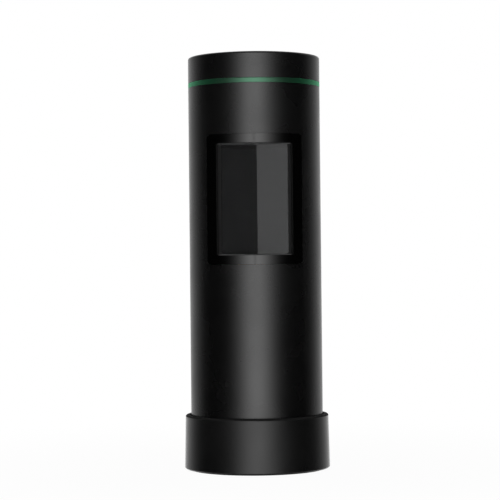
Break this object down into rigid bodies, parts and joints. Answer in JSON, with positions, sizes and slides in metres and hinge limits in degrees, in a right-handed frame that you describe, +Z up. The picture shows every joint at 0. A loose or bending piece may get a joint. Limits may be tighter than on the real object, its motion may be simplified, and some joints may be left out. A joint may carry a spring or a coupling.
{
  "type": "portable color analyzer",
  "caption": "Hand-held cylindrical colour reader with a display and a top button, standing in its lift-off calibration base with a white tile.",
  "frame": {"origin": "middle of the calibration base's underside, on the surface it stands on", "axes": "+Z up along the tube, -Y out of the display, +X to the right of someone facing the display"},
  "size_m": [0.0364, 0.0364, 0.103],
  "materials": {
    "tube_black": "satin",
    "base_black": "satin",
    "foot_rubber": "matte",
    "seat_foam": "matte",
    "tile_white": "satin",
    "accent_green": "satin",
    "window_gloss": "gloss",
    "cover_glass": "gloss",
    "panel_dark": "gloss",
    "light_guide": "satin",
    "tape_black": "matte",
    "nose_black": "matte",
    "optics_white": "matte",
    "optics_black": "matte",
    "lens_glass": "gloss",
    "chassis_grey": "matte",
    "board_green": "satin",
    "chip_black": "matte",
    "steel": "satin",
    "lamp_yellow": "gloss",
    "cell_blue": "satin",
    "lead_amber": "satin",
    "connector_ivory": "matte",
    "button_black": "satin"
  },
  "bodies": {
    "base": {"base_shell": "base_black", "base_foot_ring": "foot_rubber", "tile_cushion": "seat_foam", "white_tile": "tile_white", "tile_retainer": "base_black", "seat_ring": "seat_foam"},
    "instrument": {"body_tube": "tube_black", "accent_ring": "accent_green", "head_cap": "tube_black", "window_bezel": "window_gloss", "display_glass": "cover_glass", "display_tape": "tape_black", "display_panel": "panel_dark", "display_backlight": "light_guide", "display_flex": "lead_amber", "nose_ring": "nose_black", "nose_screws": "steel", "port_window": "lens_glass", "sphere_lower_half": "optics_white", "sphere_upper_half": "optics_white", "light_baffle": "optics_white", "led_board": "board_green", "leds": "lamp_yellow", "sphere_screws": "steel", "lens_barrel": "optics_black", "detector_lens": "lens_glass", "lens_retainer": "optics_black", "sensor_board": "board_green", "colour_sensor": "chip_black", "sensor_flex": "lead_amber", "led_flex": "lead_amber", "usb_flex": "lead_amber", "button_flex": "lead_amber", "chassis": "chassis_grey", "battery_cell": "cell_blue", "battery_contacts": "steel", "battery_pad": "seat_foam", "main_board": "board_green", "main_board_screws": "steel", "processor_chip": "chip_black", "memory_chip": "chip_black", "wireless_module": "steel", "display_connector": "connector_ivory", "lead_connector": "connector_ivory", "button_connector": "connector_ivory", "usb_board": "board_green", "usb_socket": "steel", "usb_board_screws": "steel", "button_board": "board_green", "button_switch": "chip_black", "button_board_screws": "steel"},
    "button": {"measure_button": "button_black", "switch_plunger": "connector_ivory"}
  },
  "joints": [
    {"name": "lift_out", "type": "slide", "parent": "base", "child": "instrument", "axis": [0, 0, 1], "range_m": [0, 0.03]},
    {"name": "measure_button_press", "type": "slide", "parent": "instrument", "child": "button", "axis": [0, 0, -1], "range_m": [0, 0.0005], "stiffness_N_per_m": 600, "springref_m": -0.002}
  ]
}
